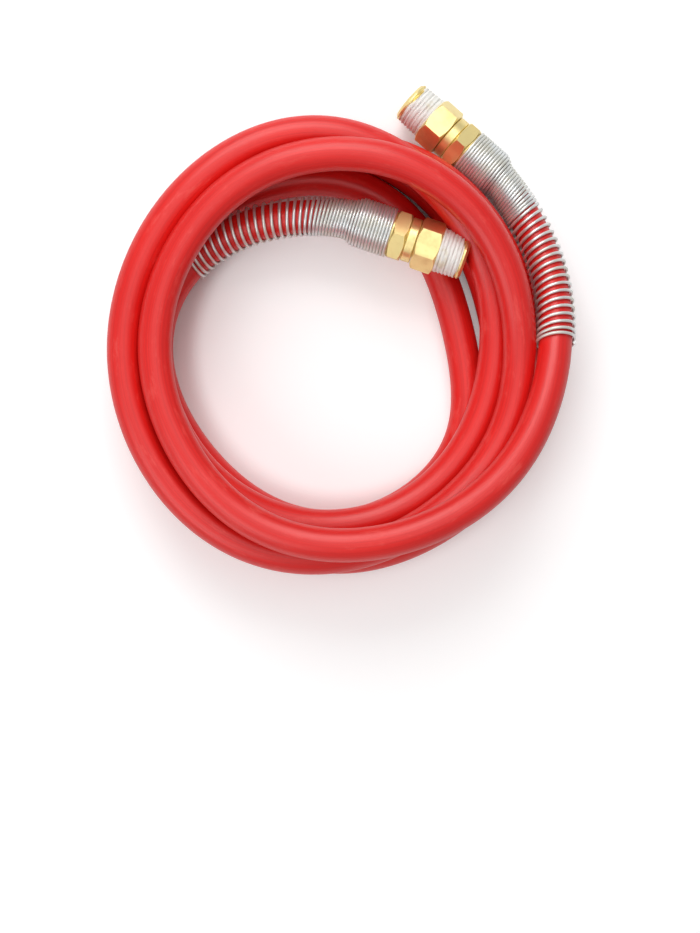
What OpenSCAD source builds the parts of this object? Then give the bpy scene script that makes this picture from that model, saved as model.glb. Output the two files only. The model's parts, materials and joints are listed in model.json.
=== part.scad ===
// Coiled air hose, 1/2 inch bore, with a swivel pipe-thread fitting and a spring guard at each end.
// Millimetres. The hose lies in a loose coil on the floor, Z up.

/* [Hose] */
// Outside diameter of the hose
hose_d = 15.9; // [15.2:0.1:16.4]
// Thickness of the hose's wall
hose_wall = 1.6; // [1.3:0.1:1.9]

/* [Coil] */
// Mean radius of the stacked turns
stack_radius = 91.5; // [89:0.5:96]
// Layers of turns in the stack above the lowest turn
stack_layers = 3; // [2:1:5]
// How much larger the lowest turn is than the stack, in mean radius
low_turn_extra = 0.5; // [-1.5:0.5:2.5]
// Gap between the lowest turn and the innermost turn, which lies inside it
inner_turn_gap = 1.6; // [1:0.1:3]

/* [Pipe thread] */
// Outside diameter of the thread at its free end, 1/2 NPT
thread_tip_d = 20.7; // [20.2:0.1:21.2]
// Length of the threaded nose
thread_len = 13.5; // [13:0.5:18]
// Depth of the chamfer on the free end
nose_chamfer = 1.2; // [0.6:0.1:1.6]
// Thickness of the dried thread sealant
sealant_t = 0.15; // [0.1:0.05:0.3]

/* [Nipple] */
// Size across the flats of both hexagons
hex_af = 22.2; // [21.6:0.1:23.4]
// Length of the nipple's hexagon
nipple_hex_len = 11.4; // [9:0.1:13]
// Diameter of the air passage at the free end
port_d = 11; // [8:0.5:12]
// Length of that passage, up to the swivel bore
port_len = 9; // [8:0.5:10]

/* [Swivel] */
// Diameter of the spigot that the nipple turns on
spigot_d = 15; // [14.4:0.1:15.2]
// Running clearance on the radius between spigot and nipple
swivel_gap = 0.05; // [0.03:0.01:0.1]
// Gap between faces that turn past each other
face_gap = 0.25; // [0.15:0.05:0.4]
// Gap under the outer fitting's lowest hexagon corner
floor_gap = 0.2; // [0.1:0.1:1]
// Section diameter of the O-ring
o_ring_d = 1.8; // [1.5:0.1:2]
// Wire diameter of the retaining ring
retainer_d = 1.2; // [1:0.1:1.4]

/* [Stem and nut] */
// Diameter of the air passage through the stem
stem_bore_d = 9; // [7:0.5:9.5]
// Diameter of the round collar between the hexagons
collar_d = 21.4; // [20.6:0.1:22]
// Length of that collar
collar_len = 4.6; // [3.5:0.1:6]
// Length of the clamp nut's hexagon
nut_hex_len = 7.1; // [6:0.1:10]
// Length of the round boss behind the nut, which carries the guard
nut_boss_len = 16; // [13:0.5:16]
// Length of the barbed tail inside the hose, behind the nut's hexagon
barb_tail_len = 15; // [12:1:16]
// Number of barbs on that tail
barbs = 4; // [2:1:6]

/* [Spring guard] */
// Wire diameter
wire_d = 1.4; // [1.2:0.05:1.45]
// Pitch of the close-wound turns
close_pitch = 1.65; // [1.6:0.01:1.8]
// Close-wound turns at the large diameter, over the nut's boss
large_turns = 10; // [10:1:14]
// All close-wound turns
close_turns = 23; // [20:1:26]
// Turns over which the pitch opens
opening_turns = 2; // [1:1:10]
// Open-wound turns
open_turns = 15; // [10:1:16]
// Turns at the end over which the pitch closes again
closing_turns = 3; // [1:1:5]
// Pitch of the open-wound turns
open_pitch = 3.9; // [3:0.1:4.5]

/* [Hidden] */

brass = "goldenrod";
zinc = "silver";
nylon = "crimson";
facets = 96;

// Centres of the stacked turns, the lowest turn and the innermost turn
stack_centre = [-4.5, -15];
low_turn_centre = [-14, -5.5];
inner_turn_centre = [-13.5, -7];

// Each fitting's seat, where its clamp nut ends and the guard begins: angle about the stack's centre
// and distance outside the stack's mean radius. Then the heading from the thread to the hose.
outer_seat_at = [56.2, 26];
outer_heading = -41.5;
inner_seat_at = [62.3, -29.4];
inner_heading = 161;

// The hose behind each seat as [angle, distance outside the stack's mean radius, share of the climb]
outer_run = [[42, 23.9, 0], [34.5, 21.9, 0], [26, 20, 0], [16, 18.5, 0], [5, 17.3, 0.02],
             [-6, 16, 0.08], [-18, 14.1, 0.22], [-31, 11.4, 0.42], [-45, 8.2, 0.65], [-59, 4.9, 0.85],
             [-73, 1.9, 0.97], [-88, 0, 1]];
inner_run = [[87, -28.9, 0.05], [99, -27.6, 0.18], [111, -25.9, 0.34], [123, -23.8, 0.52],
             [135, -21.6, 0.7], [147, -19.6, 0.85], [158, -18, 0.95], [170, -14.9, 1],
             [183, -10.2, 1], [196, -5.9, 1], [209, -2.6, 1], [222, -0.6, 1], [233, 0, 1]];

// Straight stretch of hose behind each seat, in steps
straight_step = 5.5;
straight_steps = 3;

// Small fixed gaps and overlaps along a fitting: nut from collar, hose from collar, skirt past the nut's
// hexagon, first barb from the skirt, O-ring and retaining ring from the ends of the spigot
nut_gap = 0.2;
hose_gap = 1.5;
skirt_past = 2;
barb_gap = 1;
o_ring_inset = 2.8;
retainer_inset = 4.8;

// Lengths along a fitting, measured from the free end of its thread
hex_end = thread_len + nipple_hex_len;
collar_start = hex_end + face_gap;
collar_end = collar_start + collar_len;
nut_start = collar_end + nut_gap;
seat_end = nut_start + nut_hex_len;
boss_end = seat_end + nut_boss_len;
tail_end = seat_end + barb_tail_len;
hose_end = collar_end + hose_gap;

// Sizes that seat on one another
npt_taper = 1 / 32;
thread_pitch = 25.4 / 14;
bare_threads = 1.5;
hose_r = hose_d / 2;
barb_fit = 0.05;
barb_depth = 0.35;
hose_bore_d = hose_d - 2 * hose_wall;
barb_r = hose_bore_d / 2 - barb_fit;
spigot_r = spigot_d / 2;
swivel_r = spigot_r + swivel_gap;
corner_r = hex_af / 2 / cos(30);
hose_fit = 0.1;
skirt_wall = 1.2;
skirt_r = hose_r + hose_fit + skirt_wall;
skirt_end = seat_end + skirt_past;
thread_fit = 0.05;
boss_wall = 1.2;
boss_r = skirt_r + thread_fit + boss_wall;
sleeve_len = 6;
sleeve_nose_t = 0.45;
sleeve_fit = 0.15;
sleeve_gap = 0.2;
sleeve_r = skirt_r - hose_fit;
nut_lip_r = hose_r + sleeve_fit;
edge = 0.4;
low_turn_radius = stack_radius + low_turn_extra;
inner_turn_radius = low_turn_radius - hose_d - inner_turn_gap;
// Cuts run this far past the faces that they open, and joined solids into each other
past = 1;

// Heights of the stack's layers and of both fittings' axes
inner_gap = 2.6;
layer_z = [for (i = [0:stack_layers - 1]) (i + 1.5) * hose_d];
outer_z = corner_r + floor_gap;
inner_z = hose_d + corner_r + inner_gap;

// O-ring and retaining ring places on the spigot
o_ring_at = port_len + face_gap + o_ring_inset;
o_ring_side_gap = 0.2;
o_ring_groove_w = o_ring_d + 2 * o_ring_side_gap;
o_ring_root_r = spigot_r - o_ring_d;
retainer_at = hex_end - retainer_inset;
retainer_side_gap = 0.05;
retainer_slot = retainer_d + 2 * retainer_side_gap;
retainer_room = retainer_d + 2 * face_gap;
retainer_fit = 0.2;

// Spring guard: coil radii to the middle of the wire, corrected for the flats of the drawn helix
turn_steps = 12;
wire_sides = 5;
flats_fix = 1 / cos(180 / turn_steps);
boss_fit = 0.05;
guard_fit = 0.2;
guard_big_r = (boss_r + boss_fit + wire_d / 2) * flats_fix;
guard_small_r = (hose_r + guard_fit + wire_d / 2) * flats_fix;
step_turns = 1.5;
guard_turns = close_turns + opening_turns + open_turns + closing_turns;
guard_start = wire_d / 2 + sleeve_gap;

hose_sides = 10;
core_share = 0.55;
section_facets = 48;
hose_ring_gap = 8;
curve_steps = 8;
// Distance each way over which the direction of a path is measured
look = 2.5;

// ---- Paths ----

function unit(v) = v / norm(v);
function heading(a) = [cos(a), sin(a), 0];

function round_stack(angle, offset, z) =
    [stack_centre[0] + (stack_radius + offset) * cos(angle),
     stack_centre[1] + (stack_radius + offset) * sin(angle), z];

outer_seat = round_stack(outer_seat_at[0], outer_seat_at[1], outer_z);
inner_seat = round_stack(inner_seat_at[0], inner_seat_at[1], inner_z);

// Path of a hose end: its cut end in the nut, the straight stretch from the seat, then the run to the coil
function path_points(seat, dir, run, end_z) =
    concat([for (d = concat([hose_end - seat_end], [for (i = [0:straight_steps]) i * straight_step]))
            seat + heading(dir) * d],
           [for (p = run) round_stack(p[0], p[1], seat[2] + (end_z - seat[2]) * p[2])]);

outer_path = path_points(outer_seat, outer_heading, outer_run, layer_z[stack_layers - 1]);
inner_path = path_points(inner_seat, inner_heading, inner_run, layer_z[0]);

// Slope at b of a smooth curve through a, b and c, for each unit of distance
function slope(a, b, c) =
    let (m = norm(b - a), n = norm(c - b)) ((b - a) * n / m + (c - b) * m / n) / (m + n);

// Point at share t of the way from p[i] to p[i + 1], on a cubic that keeps both slopes
function curve_point(p, i, t) =
    let (n = len(p) - 1,
         b = p[i],
         c = p[i + 1],
         a = i == 0 ? 2 * b - c : p[i - 1],
         d = i == n - 1 ? 2 * c - b : p[i + 2],
         u = norm(c - b) * slope(a, b, c),
         v = norm(c - b) * slope(b, c, d))
    b + t * (u + t * (3 * (c - b) - 2 * u - v + t * (2 * (b - c) + u + v)));

function curve(p, steps) =
    concat([for (i = [0:len(p) - 2], k = [0:steps - 1]) curve_point(p, i, k / steps)], [p[len(p) - 1]]);

// Distance along the curve at each of its points
function run_lengths(q, i = 1, sum = 0, out = [0]) =
    i == len(q) ? out
    : let (s = sum + norm(q[i] - q[i - 1])) run_lengths(q, i + 1, s, concat(out, [s]));

// One lookup table for each coordinate against the distance along the curve
function tables(q) =
    let (s = run_lengths(q))
    [for (axis = [0:2]) [for (i = [0:len(q) - 1]) [s[i], q[i][axis]]]];

function at(tab, s) = [for (axis = [0:2]) lookup(s, tab[axis])];
function ahead(tab, s) = unit(at(tab, s + look) - at(tab, s - look));
function side(t) = unit(cross([0, 0, 1], t));
function path_len(tab) = tab[0][len(tab[0]) - 1][0];

// ---- Sweeps ----

// Walls between neighbouring rings of m points, from ring 0 to ring n - 1
function ring_walls(n, m) =
    [for (i = [0:n - 2], j = [0:m - 1])
        let (a = i * m + j, b = i * m + (j + 1) % m)
        each [[a, b, a + m], [b, b + m, a + m]]];

// Closed solid over rings of points, with a flat cap at each end
module capped_skin(rings) {
    n = len(rings);
    m = len(rings[0]);
    near_cap = [[for (j = [m - 1:-1:0]) j]];
    far_cap = [[for (j = [0:m - 1]) (n - 1) * m + j]];
    polyhedron([for (r = rings) each r], concat(ring_walls(n, m), near_cap, far_cap), convexity = 12);
}

// Closed solid over rings that lead out along the outside and back along the bore
module tube_skin(rings) {
    n = len(rings);
    m = len(rings[0]);
    closing = [for (j = [0:m - 1])
               let (a = (n - 1) * m + j, b = (n - 1) * m + (j + 1) % m)
               each [[a, b, j], [b, (j + 1) % m, j]]];
    polyhedron([for (r = rings) each r], concat(ring_walls(n, m), closing), convexity = 12);
}

// Ring of points round the path at distance s
function tube_ring(tab, s, r) =
    let (c = at(tab, s), t = ahead(tab, s), u = side(t), v = cross(t, u))
    [for (j = [0:hose_sides - 1])
        let (a = -360 * (j + 0.5) / hose_sides) c + r * (cos(a) * u + sin(a) * v)];

module hose_tail(path) {
    tab = tables(curve(path, curve_steps));
    rings = ceil(path_len(tab) / hose_ring_gap);
    reach = [for (i = [0:rings]) path_len(tab) * i / rings];
    bore_r = hose_bore_d / 2 / cos(180 / hose_sides);
    color(nylon) tube_skin(concat([for (i = [0:rings]) tube_ring(tab, reach[i], hose_r)],
                                  [for (i = [rings:-1:0]) tube_ring(tab, reach[i], bore_r)]));
}

// Distance of turn n of the guard from its first turn: the pitch opens, stays open and closes again
function guard_reach(n) =
    let (opened = min(max(n - close_turns, 0), opening_turns),
         wide = max(n - close_turns - opening_turns, 0),
         closed = max(n - guard_turns + closing_turns, 0),
         widening = open_pitch - close_pitch)
    close_pitch * min(n, close_turns)
    + close_pitch * opened + widening * opened * opened / (2 * opening_turns)
    + open_pitch * wide - widening * closed * closed / (2 * closing_turns);

// Coil radius of the guard at turn n: large, a short step, then small
function guard_radius(n) =
    let (t = min(max((n - large_turns) / step_turns, 0), 1))
    guard_big_r + (guard_small_r - guard_big_r) * t * t * (3 - 2 * t);

// Ring of points round the guard's wire at turn n
function wire_ring(tab, n) =
    let (s = seat_end - hose_end + guard_start + guard_reach(n),
         c = at(tab, s), t = ahead(tab, s), u = side(t), v = cross(t, u),
         out = cos(360 * n) * u + sin(360 * n) * v)
    [for (j = [0:wire_sides - 1])
        let (a = 360 * j / wire_sides)
        c + guard_radius(n) * out + wire_d / 2 * (cos(a) * out + sin(a) * t)];

module spring_guard(path) {
    tab = tables(curve(path, curve_steps));
    color(zinc) capped_skin([for (i = [0:guard_turns * turn_steps]) wire_ring(tab, i / turn_steps)]);
}

// ---- Fitting pieces, each about +Z with the thread's free end at 0 ----

module revolve(outline) {
    rotate_extrude($fn = facets) polygon(outline);
}

// Hexagon from z0 to z1 with its corners turned off at 30 degrees on both faces
module hexagon(z0, z1, phase) {
    face_r = hex_af / 2 - edge / 2;
    over_r = corner_r + edge;
    drop = (over_r - face_r) * tan(30);
    intersection() {
        translate([0, 0, z0]) rotate([0, 0, phase]) cylinder(h = z1 - z0, r = corner_r, $fn = 6);
        revolve([[0, z0], [face_r, z0], [over_r, z0 + drop], [over_r, z1 - drop], [face_r, z1], [0, z1]]);
    }
}

function thread_r(z) = thread_tip_d / 2 + z * npt_taper;

// Threaded nose, hexagon and stepped bore of the turning half of the swivel
module nipple(phase) {
    tip_r = thread_r(0) - nose_chamfer;
    color(brass) difference() {
        union() {
            revolve([[0, 0], [tip_r, 0], [thread_r(nose_chamfer), nose_chamfer],
                     [thread_r(thread_len), thread_len], [thread_r(thread_len), thread_len + past],
                     [0, thread_len + past]]);
            hexagon(thread_len, hex_end, phase);
        }
        revolve([[0, -past], [port_d / 2, -past], [port_d / 2, port_len], [swivel_r, port_len],
                 [swivel_r, hex_end + past], [0, hex_end + past]]);
        translate([0, 0, retainer_at - retainer_room / 2])
            cylinder(h = retainer_room, r = swivel_r + retainer_d / 2 + retainer_fit, $fn = facets);
    }
}

module thread_sealant() {
    z0 = bare_threads * thread_pitch;
    z1 = thread_len - edge;
    color("white") revolve([[thread_r(z0), z0], [thread_r(z0) + sealant_t, z0],
                            [thread_r(z1) + sealant_t, z1], [thread_r(z1), z1]]);
}

// Outline of a groove w wide from radius r out past the spigot, centred at z
function groove(r, z, w) =
    [[r, z - w / 2], [spigot_r + past, z - w / 2], [spigot_r + past, z + w / 2], [r, z + w / 2]];

// Fixed half: grooved spigot, round collar, outside-threaded skirt and barbed tail
module stem() {
    spigot_start = port_len + face_gap;
    root_r = barb_r - barb_depth;
    barb_start = skirt_end + barb_gap;
    barb_step = (tail_end - barb_start) / barbs;
    color(brass) difference() {
        union() {
            revolve([[0, spigot_start], [spigot_r - edge, spigot_start], [spigot_r, spigot_start + edge],
                     [spigot_r, collar_start], [collar_d / 2 - edge, collar_start],
                     [collar_d / 2, collar_start + edge], [collar_d / 2, collar_end - edge],
                     [collar_d / 2 - edge, collar_end], [skirt_r, collar_end], [skirt_r, skirt_end],
                     [0, skirt_end]]);
            revolve(concat([[0, skirt_end - past], [root_r, skirt_end - past]],
                           [for (i = [0:barbs - 1]) let (z = barb_start + i * barb_step)
                            each [[root_r, z], [barb_r, z + barb_depth],
                                  [root_r, z + barb_step - barb_depth]]],
                           [[root_r, tail_end], [0, tail_end]]));
        }
        revolve([[0, 0], [stem_bore_d / 2, 0], [stem_bore_d / 2, tail_end + past], [0, tail_end + past]]);
        revolve([[root_r, hose_end], [hose_r + hose_fit, hose_end], [hose_r + hose_fit, skirt_end + past],
                 [root_r, skirt_end + past]]);
        revolve(groove(o_ring_root_r, o_ring_at, o_ring_groove_w));
        revolve(groove(spigot_r - retainer_d / 2 - hose_fit / 2, retainer_at, retainer_slot));
    }
}

module ring_of(section_d, middle_r, z) {
    translate([0, 0, z]) rotate_extrude($fn = facets)
        translate([middle_r, 0]) circle(d = section_d, $fn = section_facets);
}

module o_ring() {
    color("dimgray") ring_of(o_ring_d, o_ring_root_r + o_ring_d / 2, o_ring_at);
}

module retaining_ring() {
    color(zinc) ring_of(retainer_d, spigot_r, retainer_at);
}

// Tapered sleeve that the nut drives down onto the hose
module grip_sleeve() {
    z0 = skirt_end + sleeve_gap;
    z1 = z0 + sleeve_len;
    bore_r = hose_r + sleeve_fit / 2;
    color(brass) revolve([[bore_r, z0], [sleeve_r, z0], [sleeve_r, z0 + sleeve_len / 3],
                          [hose_r + sleeve_nose_t, z1], [bore_r, z1]]);
}

// Hexagon nut with a long round boss: bored for the skirt, coned over the sleeve, lipped at the back
module clamp_nut(phase) {
    cone_start = skirt_end + sleeve_gap + sleeve_len / 3;
    cone_end = skirt_end + sleeve_gap + sleeve_len;
    color(brass) difference() {
        union() {
            hexagon(nut_start, seat_end, phase);
            revolve([[0, seat_end - past], [boss_r, seat_end - past], [boss_r, boss_end - edge],
                     [boss_r - edge, boss_end], [0, boss_end]]);
        }
        revolve([[0, nut_start - past], [skirt_r + thread_fit, nut_start - past],
                 [skirt_r + thread_fit, cone_start + edge],
                 [hose_r + sleeve_nose_t + sleeve_fit, cone_end + edge], [nut_lip_r, cone_end + 2 * edge],
                 [nut_lip_r, boss_end + past], [0, boss_end + past]]);
    }
}

module at_outer_end() {
    translate(outer_seat) rotate([0, 90, outer_heading]) translate([0, 0, -seat_end]) children();
}

module at_inner_end() {
    translate(inner_seat) rotate([0, 90, inner_heading]) translate([0, 0, -seat_end]) children();
}

// ---- Hose pieces ----

// Outer shape of the stacked turns: one column of round layers with the gaps between them closed
module hose_coil() {
    core = hose_r * core_share;
    color(nylon) translate([stack_centre[0], stack_centre[1], 0]) rotate_extrude($fn = facets)
        union() {
            for (z = layer_z) translate([stack_radius, z]) circle(d = hose_d, $fn = section_facets);
            translate([stack_radius - core, layer_z[0]])
                square([2 * core, layer_z[stack_layers - 1] - layer_z[0]]);
        }
}

module flat_turn(centre, radius) {
    color(nylon) translate([centre[0], centre[1], hose_r]) rotate_extrude($fn = facets)
        translate([radius, 0]) circle(d = hose_d, $fn = section_facets);
}

module hose_low_turn() flat_turn(low_turn_centre, low_turn_radius);
module hose_inner_turn() flat_turn(inner_turn_centre, inner_turn_radius);
module hose_outer_tail() hose_tail(outer_path);
module hose_inner_tail() hose_tail(inner_path);

module outer_nipple() at_outer_end() nipple(27);
module outer_thread_sealant() at_outer_end() thread_sealant();
module outer_stem() at_outer_end() stem();
module outer_o_ring() at_outer_end() o_ring();
module outer_retaining_ring() at_outer_end() retaining_ring();
module outer_grip_sleeve() at_outer_end() grip_sleeve();
module outer_clamp_nut() at_outer_end() clamp_nut(6);
module outer_spring_guard() spring_guard(outer_path);

module inner_nipple() at_inner_end() nipple(27);
module inner_thread_sealant() at_inner_end() thread_sealant();
module inner_stem() at_inner_end() stem();
module inner_o_ring() at_inner_end() o_ring();
module inner_retaining_ring() at_inner_end() retaining_ring();
module inner_grip_sleeve() at_inner_end() grip_sleeve();
module inner_clamp_nut() at_inner_end() clamp_nut(55);
module inner_spring_guard() spring_guard(inner_path);

hose_coil();
hose_low_turn();
hose_inner_turn();
hose_outer_tail();
hose_inner_tail();
outer_nipple();
outer_thread_sealant();
outer_stem();
outer_o_ring();
outer_retaining_ring();
outer_grip_sleeve();
outer_clamp_nut();
outer_spring_guard();
inner_nipple();
inner_thread_sealant();
inner_stem();
inner_o_ring();
inner_retaining_ring();
inner_grip_sleeve();
inner_clamp_nut();
inner_spring_guard();
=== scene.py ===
"""Looks of a coiled air hose: red nylon tube, swivelling brass ends and plated spring guards.

Shapes are worked out in millimetres, and everything handed to Blender is in metres.
"""
import json

import bpy
import numpy as np
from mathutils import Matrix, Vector


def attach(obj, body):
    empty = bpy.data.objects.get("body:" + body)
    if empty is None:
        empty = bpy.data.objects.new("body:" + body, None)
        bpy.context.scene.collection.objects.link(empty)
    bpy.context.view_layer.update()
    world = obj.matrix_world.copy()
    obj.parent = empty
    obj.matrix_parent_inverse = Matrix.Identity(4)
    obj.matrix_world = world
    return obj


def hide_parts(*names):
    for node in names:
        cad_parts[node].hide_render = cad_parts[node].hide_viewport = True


MM = 0.001
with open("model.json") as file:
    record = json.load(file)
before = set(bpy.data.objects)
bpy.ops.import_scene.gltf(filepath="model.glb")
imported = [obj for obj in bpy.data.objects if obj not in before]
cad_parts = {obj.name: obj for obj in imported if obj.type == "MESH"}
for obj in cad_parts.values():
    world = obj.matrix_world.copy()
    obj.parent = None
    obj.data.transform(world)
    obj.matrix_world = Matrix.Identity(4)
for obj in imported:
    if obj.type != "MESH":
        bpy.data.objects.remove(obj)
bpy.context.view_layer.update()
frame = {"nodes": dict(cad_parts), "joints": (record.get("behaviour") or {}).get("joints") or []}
joints = {joint["name"]: joint for joint in frame["joints"]}

# ---- Hose and fittings, in millimetres ----

HOSE_D = 15.9
HOSE_BORE_D = 12.7

# Places along a fitting, measured from the free end of its thread: where the thread meets the
# hexagon, the swivel joint's own point, the nipple's other end, the cut end of the hose, and the
# seat, where the nut's hexagon ends and the guard begins
THREAD_END = 13.5
JOINT_AT = 20.0
NIPPLE_END = 24.9
HOSE_CUT = 31.25
SEAT = 37.05

# Pipe thread: radius at the free end, how much that grows per millimetre, pitch and depth
THREAD_TIP_R = 10.35
TAPER = 1 / 32
THREAD_PITCH = 25.4 / 14
THREAD_DEPTH = 1.05
# Its form, as shares of the depth: gain along a flank per pitch, and what the crest's flat takes
FLANK_SLOPE = 2.3
CREST_FLAT = 0.08
# Where the thread begins, and the lengths over which it fades in and out
THREAD_START = 1.4
FADE_IN = 1.6
FADE_OUT = 1.2

# Nipple: chamfer of its nose, air port, swivel bore, and the chamfer at the mouth of both
NOSE_CHAMFER = 1.2
PORT_R = 5.5
PORT_LEN = 9.0
SWIVEL_R = 7.55
MOUTH_CHAMFER = 0.4
# Its hexagon: distance to the flats, radius of a face, slope and length of the chamfer there, and
# its turn about the axis in degrees
HEX_FLAT_R = 11.1
HEX_FACE_R = 10.9
CHAMFER_SLOPE = np.tan(np.radians(30))
HEX_CHAMFER = 1.2
NIPPLE_PHASE = 27

# Sealant coat: least and most distance of its ragged rims from the free end, height over the
# crests, depth under the brass, and how fast it thickens from a rim to the middle
COAT_START = (2.2, 3.6)
COAT_END = (13.6, 14.6)
COAT_OVER = 0.10
COAT_UNDER = 0.12
RIM_STEEPNESS = 14
# Share of the grooves that it fills, how far that share wanders, radians of its ripple per
# millimetre, and how far the ripple swings round the fitting
COAT_FILL = 0.55
COAT_WANDER = 0.35
RIPPLE = 1.7
RIPPLE_SWING = 3
COAT_SEEDS = {"outer": 3, "inner": 8}

# Spring guards: wire, start behind the seat, coil radii to the middle of the wire, and pitches
WIRE_D = 1.5
GUARD_START = 0.95
GUARD_BIG_R = 11.35
GUARD_SMALL_R = 8.95
CLOSE_PITCH = 1.53
OPEN_PITCH = 3.9
# How far a turn's tilt lags behind its place on the hose, the reach over which a bend is measured,
# and the sharpest bend that the pitch answers, as one over its radius
RING_LAG = 17
BEND_REACH = 6
SHARPEST_BEND = 0.05
# Turns of each guard from the nut on: large ones, then those over which it narrows, both among the
# close ones; after the close ones those over which it opens, the open ones and the closing ones
GUARD_TURNS = {
    "outer": {"large": 10, "narrowing": 4, "close": 25, "opening": 2, "open": 15, "closing": 3},
    "inner": {"large": 10, "narrowing": 4, "close": 22, "opening": 8, "open": 10, "closing": 3},
}

# ---- Fineness of the surfaces ----

# Millimetres each way over which a line's direction is measured, and between rings of the hose
HEADING_REACH = 3.0
HOSE_RING_GAP = 3.2
# Rings of the wire in each turn of a guard
STEPS_PER_TURN = 40
# Sides of the hose, of the wire, and of the nipple and its coat
HOSE_SIDES = 24
WIRE_SIDES = 10
NIPPLE_SIDES = 96
# Rows along the nose, along each chamfer of the hexagon, and along the coat
NOSE_ROWS = 112
CHAMFER_ROWS = 10
COAT_ROWS = 90

# ---- Route of the hose, in millimetres ----

# Centre and mean radius of the stacked turns, which the runs behind the fittings are given about
STACK_CENTRE = (-4.5, -15.0)
STACK_R = 91.5

# Centre of the loose coil, points in a turn, and the radius at each point of each turn, from the
# right on clockwise
COIL_CENTRE = (-0.5, -14.0)
POINTS_PER_TURN = 12
TURN_RADII = [
    [99, 99, 95, 93.5, 92.5, 87, 87, 86, 88, 87.5, 88.5, 86.5],
    [86, 89, 91.5, 99.5, 104.5, 103, 102, 100, 102, 100, 87.5, 81],
    [74, 76, 81, 85.5, 89, 89, 89, 91.5, 95.5, 96.5, 95, 93],
    [92, 98, 96, 102.5, 96, 99, 102, 104, 103, 97, 89, 80],
    [76, 88, 97.5, 98.5, 103, 105, 105, 99, 88, 84.5, 70, 60.5],
    [56.5, 74, 79, 88, 86.5, 85.5],
]
# Height of the route before it settles, as [turns from the right, height]
TURN_HEIGHTS = [
    [-0.2, 13], [0, 19], [0.17, 42], [0.3, 50], [0.5, 45], [0.9, 41], [1, 34], [1.25, 34],
    [1.4, 40], [1.6, 40], [1.8, 30], [1.9, 24], [2.2, 24], [2.7, 24], [2.85, 16], [3, 8],
    [3.1, 10], [3.2, 24], [3.65, 24], [3.85, 14], [4, 8], [5.35, 8], [5.5, 15],
]
# Runs from the fittings to the coil, as [angle, distance outside the stack's mean radius, height]
OUTER_RUN = [[42, 23.9, 13], [34.5, 21.9, 13], [26, 20, 13], [16, 18.5, 13.1]]
INNER_RUN = [
    [84, -29.2, 31], [95, -28.2, 31], [107, -25.9, 30], [120, -21.6, 29], [132, -16.4, 27.5],
    [145, -11, 25], [156, -8, 23], [168, -5.5, 20], [182, -5, 16],
]
# Straight stretch behind each seat
STRAIGHT = [0, 5.5, 11, 16.5]
# Steps of the curve between two points, before the hose settles and after
HAND_LAID_STEPS = 12
SETTLED_STEPS = 4

# ---- Settling of the hose, in millimetres ----

# Distance between points, points held at each end, and how much their places count
SETTLE_GAP = 6.0
PINNED = 6
PINNED_WEIGHT = 1e4
# Length at each end that carries a guard, the guard's outer radius, and the length over which the
# radius falls to the hose's
GUARDED = 135
GUARDED_R = GUARD_SMALL_R + WIRE_D / 2
GUARD_TAPER = 8
# Length along the hose within which it can't touch itself, and spare gap between turns
SAME_TURN = 48
SPARE = 0.15
# Pushes in a round, share of an overlap that each of two points gives way in one push, rounds
# between two searches for neighbours, and how near those are
PUSHES = 6
PUSH_SHARE = 0.2
SEARCH_EVERY = 8
NEIGHBOUR_REACH = 1.6 * HOSE_D
# How much the given place counts, as [distance along the hose, share]
HAND_LAID = [[0, 1], [1380, 1], [1480, 0.3], [2780, 0.3], [2900, 1]]
# Each pass as [rounds, evenness, stiffness, hold, gravity]
ROUNDS = [[500, 200, 25, 0.3, 0.3], [250, 200, 12, 0.2, 0]]

# ---- Colours, as linear red, green and blue, and 1 for opaque ----

DEEP_RED = (0.66, 0.006, 0.005, 1)
BRIGHT_RED = (0.82, 0.014, 0.010, 1)
LINE_RED = (0.50, 0.006, 0.006, 1)
RUBBED_RED = (0.86, 0.12, 0.10, 1)
CLEAN_BRASS = (0.90, 0.74, 0.33, 1)
TARNISHED_BRASS = (0.68, 0.49, 0.19, 1)
BRIGHT_ZINC = (0.76, 0.78, 0.78, 1)
DULL_ZINC = (0.68, 0.67, 0.60, 1)
CHALK_WHITE = (0.84, 0.83, 0.79, 1)
YELLOWED_WHITE = (0.74, 0.69, 0.55, 1)
RUBBER_BLACK = (0.014, 0.014, 0.014, 1)
RUBBER_GREY = (0.03, 0.03, 0.03, 1)
FLOOR_WHITE = (0.88, 0.88, 0.88, 1)
WHITE = (1, 1, 1, 1)

# Turn in plan, in degrees, that lays each fitting's axis along X for the tool rings on its brass
AXIS_TURN = {"outer": 41.5, "inner": 19}

# ---- Camera and stage, in metres ----

# Point of the floor under the camera, the camera's height, and its lens in millimetres
VIEW_CENTRE = (4.2 * MM, -71 * MM)
VIEW_HEIGHT = 0.85
LENS = 66.3

# Floor: half its side, its glow, and what it glows more far away
FLOOR_HALF = 2.5
FLOOR_GLOW = 0.26
FAR_GLOW = 0.38
# Distances from the coil's centre over which a ring of painted shade under the coil begins, over
# which it ends, and over which the floor gets out of the lamps' reach
# In the ring the floor loses its glow, which paints darker shade into the slits between strands and
# at the coil's foot
SHADE_RING_STARTS = (0.066, 0.078)
SHADE_RING_ENDS = (0.098, 0.115)
FAR_STARTS = (0.3, 1.6)

# World: strength as a light, and what is added where it is seen
WORLD_LIGHT = 0.30
WORLD_SEEN = 0.60
# How much of what only the camera sees shows in a mirror or through glass
MIRROR_SHARE = 0.4

# Lamps: place, side of the square, and power in watts
LAMPS = {
    "overhead_lamp": ((0.06, 0.14, 1.25), 1.1, 4),
    "key_lamp": ((-0.1, 0.85, 0.85), 0.8, 8.5),
    "fill_lamp": ((-0.65, -0.6, 0.8), 0.7, 4),
}

# ---- Curves and grids ----


def unit(v):
    """The vectors v, each at length 1."""
    return v / np.linalg.norm(v, axis=-1, keepdims=True)


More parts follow.
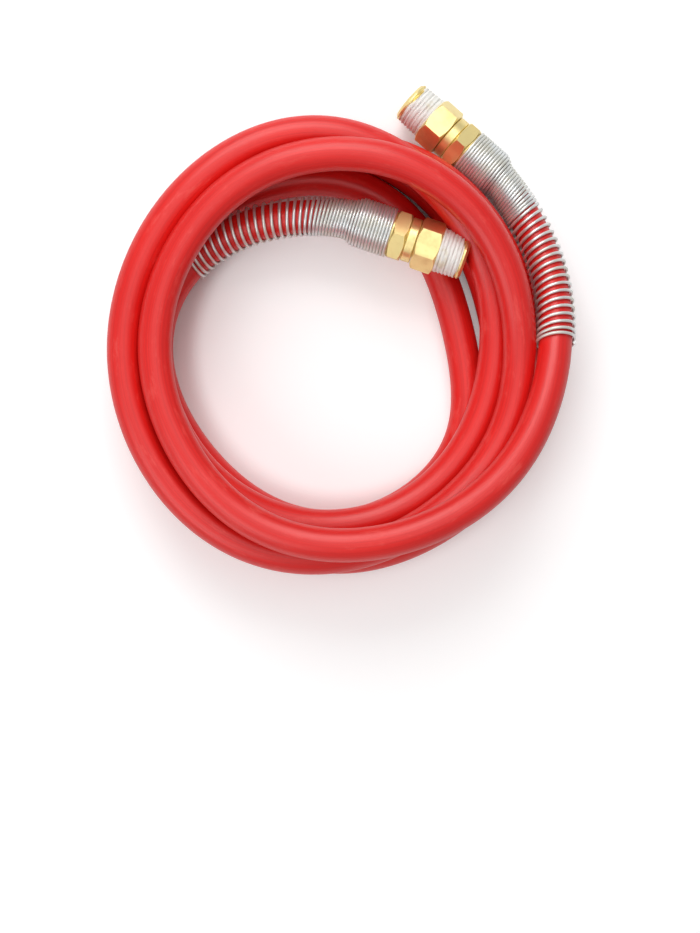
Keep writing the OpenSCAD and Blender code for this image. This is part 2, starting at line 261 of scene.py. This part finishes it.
def smooth_line(points, steps):
    """Cubic through the points. Each slope is the mean of the two neighbouring chords, weighted by
    the other chord's length, so a straight stretch next to a long one stays straight."""
    p = np.asarray(points, float)
    p = np.vstack([2 * p[0] - p[1], p, 2 * p[-1] - p[-2]])
    chord = np.diff(p, axis=0)
    size = np.linalg.norm(chord, axis=1, keepdims=True)
    heading = chord / size
    slope = (heading[:-1] * size[1:] + heading[1:] * size[:-1]) / (size[:-1] + size[1:])
    start, span, length = p[1:-2, None], chord[1:-1, None], size[1:-1, None]
    u, v = length * slope[:-1, None], length * slope[1:, None]
    t = np.linspace(0, 1, steps, endpoint=False)[None, :, None]
    line = start + t * (u + t * (3 * span - 2 * u - v + t * (u + v - 2 * span)))
    return np.vstack([line.reshape(-1, 3), p[-2:-1]])


def distances(line):
    """Distance along the line at each of its points."""
    return np.r_[0, np.cumsum(np.linalg.norm(np.diff(line, axis=0), axis=1))]


def at(line, s):
    """Points of the line at the distances s."""
    along = distances(line)
    return np.stack([np.interp(s, along, line[:, axis]) for axis in range(3)], axis=-1)


def spaced(line, gap):
    """The line again, with its points the same distance apart, about gap."""
    total = distances(line)[-1]
    return at(line, np.linspace(0, total, int(round(total / gap)) + 1))


def frames_along(line, s):
    """Centre, left and up at the distances s. Left is level and square to the line's direction,
    which runs from HEADING_REACH before to HEADING_REACH after, and up is square to both."""
    forward = unit(at(line, s + HEADING_REACH) - at(line, s - HEADING_REACH))
    left = unit(np.cross([0, 0, 1.0], forward))
    return at(line, s), left, np.cross(forward, left)


def angles_round(sides):
    """Angles of that many points, evenly round a full turn."""
    return np.linspace(0, 2 * np.pi, sides, endpoint=False)


def carried_circle(centre, first, second, radius, angles):
    """Circle carried along a path: each row is a ring of points about its centre, the cosine of
    the angle along the first unit vector and the sine along the second."""
    ring = np.cos(angles)[:, None] * first[:, None] + np.sin(angles)[:, None] * second[:, None]
    return centre[:, None] + radius * ring


def new_object(name, data):
    """Object at the origin that puts the data in the scene."""
    made = bpy.data.objects.new(name, data)
    bpy.context.scene.collection.objects.link(made)
    return made


def grid_piece(name, points, along, close_rows=False):
    """Mesh over a grid of points in millimetres: n rows of m points, each row a closed ring. The
    last row joins the first where close_rows says so, and otherwise both get flat caps. The UV map
    is (along, share of the way round the ring). Along has a value for each row, and where the rows
    close one more for the first row again."""
    n, m = points.shape[:2]
    steps = n if close_rows else n - 1
    i, j = np.meshgrid(np.arange(steps), np.arange(m), indexing="ij")
    corners = [(i, j), (i, j + 1), (i + 1, j + 1), (i + 1, j)]
    quads = np.stack([(a % n) * m + b % m for a, b in corners], axis=-1).reshape(-1, 4)
    faces = quads.tolist()
    if not close_rows:
        faces += [list(range(m))[::-1], [(n - 1) * m + k for k in range(m)]]
    mesh = bpy.data.meshes.new(name)
    mesh.from_pydata((points.reshape(-1, 3) * MM).tolist(), [], faces)
    round_share = np.linspace(0, 1, m + 1)
    uv = np.stack([np.stack([along[a], round_share[b]], axis=-1) for a, b in corners], axis=2)
    flat = np.zeros((len(mesh.loops), 2), np.float32)
    flat[: uv.size // 2] = uv.reshape(-1, 2)
    mesh.uv_layers.new(name="UVMap").data.foreach_set("uv", flat.ravel())
    mesh.shade_smooth()
    return new_object(name, mesh)


def sharpen(piece, degrees):
    """Edges bent by more than this many degrees keep their crease."""
    piece.data.set_sharp_from_angle(angle=np.radians(degrees))


# ---- Route of the hose ----


class Fitting:
    """One end of the hose: its axis comes from the frame's swivel joint."""

    def __init__(self, end):
        joint = joints[end + "_swivel"]
        self.end = end
        self.inward = -unit(np.array(joint["axis"], float))
        self.tip = np.array(joint["pos_m"], float) / MM - JOINT_AT * self.inward
        self.down = np.array([0, 0, -1.0])
        self.across = np.cross(self.inward, self.down)

    def point(self, s):
        """Point on the axis, s from the free end of the thread."""
        return self.tip + s * self.inward

    def place(self, radius, angle, s):
        """Points at a radius, an angle from straight down and a distance from the free end."""
        ring = np.cos(angle)[..., None] * self.down + np.sin(angle)[..., None] * self.across
        return self.tip + s[..., None] * self.inward + radius[..., None] * ring


def about(centre, radius, degrees, height):
    """Point at a radius and an angle about a centre, anticlockwise from the right."""
    a = np.radians(degrees)
    return [centre[0] + radius * np.cos(a), centre[1] + radius * np.sin(a), height]


def tail(fitting, run):
    """Points from the hose's cut end, straight behind the fitting's seat, and along its run."""
    straight = [fitting.point(s) for s in [HOSE_CUT] + [SEAT + d for d in STRAIGHT]]
    return straight + [about(STACK_CENTRE, STACK_R + off, a, z) for a, off, z in run]


def hand_laid_route(outer, inner):
    """Route before it settles: outer fitting, the turns from the top one down, inner fitting."""
    radii = np.concatenate(TURN_RADII)
    turns = np.arange(len(radii)) / POINTS_PER_TURN
    heights = np.interp(turns, *np.transpose(TURN_HEIGHTS))
    coil = [about(COIL_CENTRE, r, -360 * t, z) for r, t, z in zip(radii, turns, heights)]
    points = tail(outer, OUTER_RUN) + coil + tail(inner, INNER_RUN)[::-1]
    return smooth_line(points, HAND_LAID_STEPS)


def push_apart(points, a, b, radius):
    """The points after a few pushes: of a pair of a and b that is nearer than its two radii and the
    spare gap, both give way, and the floor lifts what is under it."""
    y = points.copy()
    clear = radius[a] + radius[b] + SPARE
    for _ in range(PUSHES):
        gap = y[a] - y[b]
        size = np.linalg.norm(gap, axis=1)
        hit = size < clear
        share = PUSH_SHARE * (clear[hit] - size[hit]) / np.maximum(size[hit], 1e-6)
        move = gap[hit] * share[:, None]
        np.add.at(y, a[hit], move)
        np.add.at(y, b[hit], -move)
        y[:, 2] = np.maximum(y[:, 2], radius)
    return y


def settle(line, passes):
    """Lets the hose lie down under its own weight, as rounds of short moves on its points.

    In each round different turns push each other apart, and gravity lowers them. Then one linear
    solve acts for the tube's stiffness. In plan it weighs each point's move against the third
    differences of its neighbours, which keeps the bend even, and against the given place, which
    counts for less in the covered turns. In height it weighs the second differences. The ends stay
    in their fittings."""
    x = line.copy()
    n = len(x)
    along = distances(line)
    pinned = np.zeros(n, bool)
    pinned[:PINNED] = pinned[-PINNED:] = True
    radius = np.interp(along, [GUARDED, GUARDED + GUARD_TAPER], [GUARDED_R, HOSE_D / 2])
    radius = np.maximum(radius, radius[::-1])
    third, second = (np.diff(np.eye(n), order, axis=0) for order in (3, 2))
    first, other = np.triu_indices(n, int(np.ceil(SAME_TURN / along[1])))
    hand_laid_share = np.interp(along, *np.transpose(HAND_LAID))
    for rounds, even, stiff, hold, drop in passes:
        hold_plan = np.where(pinned, PINNED_WEIGHT, hold * hand_laid_share)
        hold_height = np.where(pinned, PINNED_WEIGHT, 0)
        solve_plan = np.linalg.inv(np.diag(1 + hold_plan) + even * third.T @ third)
        solve_height = np.linalg.inv(np.diag(1 + hold_height) + stiff * second.T @ second)
        for k in range(rounds):
            if k % SEARCH_EVERY == 0:
                near = np.linalg.norm(x[first] - x[other], axis=1) < NEIGHBOUR_REACH
                a, b = first[near], other[near]
            y = push_apart(x, a, b, radius)
            y[:, 2] -= drop * (1 - k / rounds)
            x[:, :2] = solve_plan @ (y[:, :2] + hold_plan[:, None] * line[:, :2])
            x[:, 2] = solve_height @ (y[:, 2] + hold_height * line[:, 2])
    x[:, 2] = np.maximum(x[:, 2], radius)
    return x


# ---- Finishes ----


class Socket:
    """A shader value that adds its own Math nodes."""

    def __init__(self, nodes, socket):
        self.nodes, self.socket = nodes, socket

    def _math(self, kind, a, b):
        return self.nodes.node("ShaderNodeMath", {"operation": kind}, {0: a, 1: b})

    def __add__(self, other):
        return self._math("ADD", self, other)

    def __sub__(self, other):
        return self._math("SUBTRACT", self, other)

    def __rsub__(self, other):
        return self._math("SUBTRACT", other, self)

    def __mul__(self, other):
        return self._math("MULTIPLY", self, other)

    __radd__ = __add__
    __rmul__ = __mul__


class Nodes:
    """The nodes of a material or of the world, built from values and sockets."""

    def __init__(self, owner):
        owner.use_nodes = True
        self.tree = owner.node_tree

    def node(self, kind, settings=None, inputs=None, output=0):
        """Any node: its settings first, then the values or links of its sockets."""
        made = self.tree.nodes.new(kind)
        for key, value in (settings or {}).items():
            setattr(made, key, value)
        for key, value in (inputs or {}).items():
            self.feed(made.inputs[key], value)
        return Socket(self, made.outputs[output])

    def feed(self, socket, value):
        """Links the socket to another one, or gives it a value."""
        if isinstance(value, Socket):
            self.tree.links.new(value.socket, socket)
        else:
            socket.default_value = value

    def seen(self):
        """1 where the camera sees the surface, MIRROR_SHARE where it is seen in a mirror or through
        glass, 0 where it only lights."""
        camera, glossy, through = (
            self.node("ShaderNodeLightPath", output="Is " + kind + " Ray")
            for kind in ("Camera", "Glossy", "Transmission")
        )
        return camera + MIRROR_SHARE * (glossy + through)


class Finish(Nodes):
    """A material with one Principled shader."""

    def __init__(self, name):
        self.material = bpy.data.materials.new(name)
        super().__init__(self.material)
        self.shader = self.tree.nodes["Principled BSDF"]

    def ramp(self, factor, low, high):
        """0 below low, 1 above high, smooth between."""
        return self.node(
            "ShaderNodeMapRange",
            {"interpolation_type": "SMOOTHSTEP", "clamp": True},
            {"Value": factor, "From Min": low, "From Max": high},
        )

    def blend(self, factor, a, b):
        """Colour a where factor is 0 and b where it is 1."""
        return self.node(
            "ShaderNodeMix", {"data_type": "RGBA"}, {0: factor, 6: a, 7: b}, output=2
        )

    def noise(self, vector, scale=1.0, detail=3.0, roughness=0.5):
        """Fractal noise about 0.5, with scale cells to the unit of the vector."""
        return self.node(
            "ShaderNodeTexNoise",
            inputs={"Vector": vector, "Scale": scale, "Detail": detail, "Roughness": roughness},
        )

    def coordinates(self, kind, turn=(0, 0, 0), stretch=(1, 1, 1)):
        """Object coordinates or the UV map, turned in radians and then scaled along each axis."""
        source = self.node("ShaderNodeTexCoord", output={"UV": 2, "Object": 3}[kind])
        turned = self.node("ShaderNodeMapping", inputs={"Vector": source, "Rotation": turn})
        return self.node("ShaderNodeMapping", inputs={"Vector": turned, "Scale": stretch})

    def bump(self, height, depth, strength):
        """Normal of a relief whose height of 1 stands depth metres proud."""
        return self.node(
            "ShaderNodeBump", inputs={"Height": height, "Distance": depth, "Strength": strength}
        )

    def finish(self, **inputs):
        """The material, with values or links on the shader's sockets; _ stands for a space."""
        for key, value in inputs.items():
            self.feed(self.shader.inputs[key.replace("_", " ")], value)
        return self.material


def red_nylon():
    """Extruded tube: fine lines along it, patchy gloss, pale rubs here and there."""
    f = Finish("red_nylon_tube")
    space = f.coordinates("Object")
    lines = f.noise(f.coordinates("UV", stretch=(5, 45, 1)), detail=5.0, roughness=0.65)
    cloud = f.noise(space, scale=22.0)
    grain = f.noise(space, scale=60.0, detail=2.0)
    scuff = f.noise(f.coordinates("UV", stretch=(45, 7, 1)), detail=6.0, roughness=0.7)
    rub = f.ramp(scuff, 0.54, 0.72)
    colour = f.blend(cloud, DEEP_RED, BRIGHT_RED)
    colour = f.blend(f.ramp(lines, 0.42, 0.66) * 0.34, colour, LINE_RED)
    colour = f.blend(rub * 0.36, colour, RUBBED_RED)
    return f.finish(
        Base_Color=colour,
        Roughness=0.27 + 0.12 * cloud + 0.12 * lines + 0.16 * rub,
        Normal=f.bump(lines + 0.6 * grain, 0.12 * MM, strength=0.55),
        IOR=1.5,
        Coat_Roughness=0.25,
        Coat_Weight=0.10,
    )


def machined_brass(end):
    """Turned bright brass: fine tool rings across the fitting's axis, darker tarnish in patches."""
    f = Finish(end + "_brass")
    turn = (0, 0, np.radians(AXIS_TURN[end]))
    rings = f.noise(f.coordinates("Object", turn=turn, stretch=(2600, 60, 60)), detail=2.0)
    patches = f.noise(f.coordinates("Object"), scale=130.0, detail=4.0, roughness=0.6)
    stain = f.ramp(patches, 0.45, 0.75)
    return f.finish(
        Base_Color=f.blend(stain * 0.5, CLEAN_BRASS, TARNISHED_BRASS),
        Metallic=0.84 - 0.2 * stain,
        Roughness=0.28 + 0.12 * rings + 0.16 * stain,
        Normal=f.bump(rings, 0.02 * MM, strength=0.5),
    )


def plated_wire():
    """Bright zinc on drawn spring wire, a little yellow, with dull patches."""
    f = Finish("plated_steel_wire")
    space = f.coordinates("Object")
    patch = f.ramp(f.noise(space, scale=90.0, detail=4.0, roughness=0.6), 0.35, 0.7)
    fine = f.noise(space, scale=900.0, detail=2.0)
    return f.finish(
        Base_Color=f.blend(patch, BRIGHT_ZINC, DULL_ZINC),
        Metallic=0.78 - 0.2 * patch,
        Roughness=0.30 + 0.12 * patch + 0.08 * fine,
        Normal=f.bump(fine, 0.01 * MM, strength=0.4),
    )


def dried_sealant():
    """White paste dried in the threads, chalky, yellowed in patches."""
    f = Finish("dried_sealant")
    space = f.coordinates("Object")
    grain = f.noise(space, scale=700.0, detail=4.0, roughness=0.65)
    yellowed = f.ramp(f.noise(space, scale=160.0, detail=4.0), 0.5, 0.7)
    return f.finish(
        Base_Color=f.blend(yellowed, CHALK_WHITE, YELLOWED_WHITE),
        Roughness=0.55 + 0.2 * grain,
        Normal=f.bump(grain, 0.15 * MM, strength=0.7),
    )


def seal_rubber():
    """Black rubber of the O-rings, a little mottled."""
    f = Finish("seal_rubber")
    grain = f.noise(f.coordinates("Object"), scale=500.0)
    return f.finish(
        Base_Color=f.blend(grain, RUBBER_BLACK, RUBBER_GREY), Roughness=0.5 + 0.2 * grain
    )


def dress(piece, material):
    """Gives the piece this material alone."""
    piece.data.materials.clear()
    piece.data.materials.append(material)


# ---- Pieces ----


def hose_tube(line):
    """Tube wall: a circle carried along the line on the outside, and back along the bore."""
    total = distances(line)[-1]
    s = np.linspace(0, total, int(total / HOSE_RING_GAP))
    centre, left, up = frames_along(line, s)
    angles = angles_round(HOSE_SIDES) - np.pi / 2
    outside = carried_circle(centre, left, up, HOSE_D / 2, angles)
    inside = carried_circle(centre, left, up, HOSE_BORE_D / 2, angles)
    points = np.concatenate([inside[::-1], outside])
    piece = grid_piece("hose", points, np.r_[s[::-1], s, s[-1]] * MM, close_rows=True)
    sharpen(piece, 50)
    return piece, centre


def guard_places(end, line):
    """Turns from the guard's start, distance along the hose and coil radius, at each small step.

    The distance adds up the pitch. The close turns touch on the inside of a bend, so their pitch
    grows with the curvature of the hose RING_LAG behind them; then it widens evenly to the open
    pitch, and closes again. The radius steps down once the nut's boss is passed."""
    turns = GUARD_TURNS[end]
    total = turns["close"] + turns["opening"] + turns["open"] + turns["closing"]
    n = np.arange(total * STEPS_PER_TURN + 1) / STEPS_PER_TURN
    shrink = np.clip((n - turns["large"]) / turns["narrowing"], 0, 1)
    radius = GUARD_BIG_R + (GUARD_SMALL_R - GUARD_BIG_R) * shrink**2 * (3 - 2 * shrink)
    opened = np.clip((n - turns["close"]) / turns["opening"], 0, 1)
    opened -= np.clip((n - total + turns["closing"]) / turns["closing"], 0, 1)

    def wound(pitch):
        """Distance along the hose at each step, from the hose's cut end."""
        steps = np.cumsum((pitch[1:] + pitch[:-1]) / 2)
        return SEAT - HOSE_CUT + GUARD_START + np.r_[0, steps] / STEPS_PER_TURN

    pitch = CLOSE_PITCH + (OPEN_PITCH - CLOSE_PITCH) * opened
    here = np.maximum(wound(pitch) - RING_LAG, BEND_REACH)
    ahead = at(line, here + BEND_REACH) - at(line, here)
    behind = at(line, here) - at(line, here - BEND_REACH)
    bend = np.linalg.norm(unit(ahead) - unit(behind), axis=1) / BEND_REACH
    pitch = np.maximum(pitch, WIRE_D / (1 - radius * np.clip(bend, 0, SHARPEST_BEND)))
    return n, wound(pitch), radius


def spring_guard(end, line):
    """Round wire wound about the hose: a small circle carried along a helix on the line. Its turns
    turn with the hose a little late, so each one stands as the line does RING_LAG behind it."""
    n, s, radius = guard_places(end, line)
    _, left, up = frames_along(line, np.maximum(s - RING_LAG, 0))
    angle = 2 * np.pi * n[:, None]
    out = np.cos(angle) * left + np.sin(angle) * up
    helix = at(line, s) + radius[:, None] * out
    forward = unit(np.gradient(helix, axis=0))
    side = unit(np.cross(forward, out))
    points = carried_circle(
        helix, np.cross(side, forward), side, WIRE_D / 2, angles_round(WIRE_SIDES)
    )
    piece = grid_piece(end + "_guard_wire", points, distances(helix) * MM)
    sharpen(piece, 60)
    return piece


def thread_r(s):
    """Radius of the thread's crests: that at the free end, and the taper's share of s more."""
    return THREAD_TIP_R + TAPER * s


def thread_cut(angle, s):
    """Depth of the thread's groove: it grows with the distance from the crest, which moves one
    pitch along for each turn, and fades in behind the nose and out before the hexagon."""
    wave = (s / THREAD_PITCH - angle / (2 * np.pi)) % 1
    groove = np.clip(FLANK_SLOPE * np.abs(wave - 0.5) - CREST_FLAT, 0, 1)
    fade_in = np.clip((s - THREAD_START) / FADE_IN, 0, 1)
    fade_out = np.clip((THREAD_END - s) / FADE_OUT, 0, 1)
    return THREAD_DEPTH * groove * (fade_out * fade_in)


def hexagon_r(angle, s):
    """Distance to the flats of the hexagon, held inside a cone at each face."""
    turned = (angle - np.radians(NIPPLE_PHASE)) % (np.pi / 3) - np.pi / 6
    flats = HEX_FLAT_R / np.cos(turned)
    from_face = np.minimum(s - THREAD_END, NIPPLE_END - s)
    return np.minimum(flats, HEX_FACE_R + from_face / CHAMFER_SLOPE)


def threaded_nipple(fitting):
    """Closed profile turned about the axis: nose with its thread, hexagon, and the stepped bore.
    Thread and hexagon make the radius of their rows change with the angle."""
    angle = angles_round(NIPPLE_SIDES)
    nose = np.linspace(NOSE_CHAMFER, THREAD_END, NOSE_ROWS)
    chamfer = np.linspace(0, HEX_CHAMFER, CHAMFER_ROWS)
    hexagon = np.r_[THREAD_END + chamfer, NIPPLE_END - chamfer[::-1]]
    front_s, front_r = np.transpose([
        [MOUTH_CHAMFER, PORT_R], [0, PORT_R + MOUTH_CHAMFER], [0, THREAD_TIP_R - NOSE_CHAMFER],
    ])
    back_s, back_r = np.transpose([
        [NIPPLE_END, SWIVEL_R + MOUTH_CHAMFER], [NIPPLE_END - MOUTH_CHAMFER, SWIVEL_R],
        [PORT_LEN, SWIVEL_R], [PORT_LEN, PORT_R],
    ])
    s = np.r_[front_s, nose, hexagon, back_s]
    radius = np.concatenate([
        front_r[:, None] + 0 * angle,
        thread_r(nose[:, None]) - thread_cut(angle, nose[:, None]),
        hexagon_r(angle, hexagon[:, None]),
        back_r[:, None] + 0 * angle,
    ])
    points = fitting.place(radius, angle, s[:, None])
    name = fitting.end + "_threaded_nipple"
    piece = grid_piece(name, points, np.r_[s, s[0]] * MM, close_rows=True)
    sharpen(piece, 24)
    return piece


def sealant_coat(fitting):
    """Uneven coat over the threads: the grooves are filled by a share that wanders, and both rims
    are ragged. Its inner side lies just under the brass."""
    angle = angles_round(NIPPLE_SIDES)
    u = np.linspace(0, 1, COAT_ROWS)
    draw = np.random.default_rng(COAT_SEEDS[fitting.end])

    def wander(low, high, waves):
        """Sum of a few sines of random phase round the fitting, between low and high."""
        k = np.arange(1, waves + 1)
        total = (np.sin(np.outer(angle, k) + draw.uniform(0, 6.3, waves)) / np.sqrt(k)).sum(1)
        return low + (high - low) * (0.5 + 0.5 * np.tanh(total))

    rim_low, rim_high = wander(*COAT_START, waves=7), wander(*COAT_END, waves=7)
    s = rim_low + u[:, None] * (rim_high - rim_low)
    ripple = np.sin(s * RIPPLE + RIPPLE_SWING * np.sin(2 * angle))
    fill = COAT_FILL + COAT_WANDER * ripple * wander(0, 1, waves=5)
    rim = np.clip(np.minimum(u, 1 - u)[:, None] * RIM_STEEPNESS, 0, 1)
    cut = thread_cut(angle, s)
    outside = thread_r(s) - cut * (1 - fill * rim) + COAT_OVER * rim
    inside = thread_r(s) - cut - COAT_UNDER
    points = np.concatenate(
        [fitting.place(inside[::-1], angle, s[::-1]), fitting.place(outside, angle, s)]
    )
    name = fitting.end + "_sealant_coat"
    return grid_piece(name, points, np.r_[u[::-1], u, u[-1]], close_rows=True)


# ---- Camera and stage ----


def look_down():
    """Camera over VIEW_CENTRE. It isn't turned, so it looks straight down."""
    camera = new_object("camera", bpy.data.cameras.new("camera"))
    camera.data.lens = LENS
    camera.location = (*VIEW_CENTRE, VIEW_HEIGHT)
    bpy.context.scene.camera = camera


def softbox(name, place, side, power):
    """Square area lamp at a place, facing the origin."""
    lamp = bpy.data.lights.new(name, "AREA")
    lamp.size = side
    lamp.energy = power
    box = new_object(name, lamp)
    box.location = place
    box.rotation_euler = (-Vector(place)).to_track_quat("-Z", "Y").to_euler()


def pale_floor():
    """Large plain plane under the hose. It glows a little where the camera sees it, more where the
    lamps don't reach, and not at all in a ring under the coil, which paints shade there."""
    half = FLOOR_HALF
    corners = [(-half, -half, 0), (half, -half, 0), (half, half, 0), (-half, half, 0)]
    mesh = bpy.data.meshes.new("floor")
    mesh.from_pydata(corners, [], [(0, 1, 2, 3)])
    floor = new_object("floor", mesh)
    f = Finish("pale_floor")
    middle = (COIL_CENTRE[0] * MM, COIL_CENTRE[1] * MM, 0)
    places = {0: f.coordinates("Object"), 1: middle}
    away = f.node("ShaderNodeVectorMath", {"operation": "DISTANCE"}, places, output="Value")
    # Painted shade: no glow in a ring under the coil, so the slits between strands and the coil's
    # foot look darker
    painted_shade_ring = f.ramp(away, *SHADE_RING_STARTS) - f.ramp(away, *SHADE_RING_ENDS)
    glow = FLOOR_GLOW * (1 - painted_shade_ring) + FAR_GLOW * f.ramp(away, *FAR_STARTS)
    finish = f.finish(
        Base_Color=FLOOR_WHITE,
        Roughness=0.7,
        Emission_Color=WHITE,
        Emission_Strength=f.seen() * glow,
    )
    dress(floor, finish)


def white_world():
    """White all round, brighter where it is seen than as a light."""
    world = bpy.data.worlds.new("world")
    nodes = Nodes(world)
    background = nodes.tree.nodes["Background"].inputs
    nodes.feed(background["Color"], WHITE)
    nodes.feed(background["Strength"], WORLD_LIGHT + WORLD_SEEN * nodes.seen())
    bpy.context.scene.world = world


# ---- Making ----

look_down()
outer, inner = Fitting("outer"), Fitting("inner")
hand_laid = spaced(hand_laid_route(outer, inner), SETTLE_GAP)
settled = settle(hand_laid, ROUNDS)
route = smooth_line(settled, SETTLED_STEPS)

brass = {end: machined_brass(end) for end in ("outer", "inner")}
wire, nylon, paste, rubber = plated_wire(), red_nylon(), dried_sealant(), seal_rubber()

hose, hose_centre = hose_tube(route)
dress(hose, nylon)
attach(hose, "hose")
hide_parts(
    "hose_coil", "hose_low_turn", "hose_inner_turn", "hose_outer_tail", "hose_inner_tail"
)

for fitting, line in ((outer, route), (inner, route[::-1])):
    end = fitting.end
    guard = spring_guard(end, line)
    dress(guard, wire)
    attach(guard, "hose")
    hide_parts(end + "_spring_guard")
    nipple = threaded_nipple(fitting)
    dress(nipple, brass[end])
    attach(nipple, end + "_swivel_nipple")
    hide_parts(end + "_nipple")
    coat = sealant_coat(fitting)
    dress(coat, paste)
    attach(coat, end + "_swivel_nipple")
    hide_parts(end + "_thread_sealant")
    kept = {
        "stem": brass[end], "clamp_nut": brass[end], "grip_sleeve": brass[end],
        "o_ring": rubber, "retaining_ring": wire,
    }
    for part, finish in kept.items():
        dress(frame["nodes"][end + "_" + part], finish)

tuple(outer.point(HOSE_CUT) * MM)
(hose_centre * MM).tolist()

pale_floor()
white_world()
for name, (place, side, power) in LAMPS.items():
    softbox(name, place, side, power)

scene = bpy.context.scene
scene.view_settings.view_transform = "Standard"

bpy.context.view_layer.update()
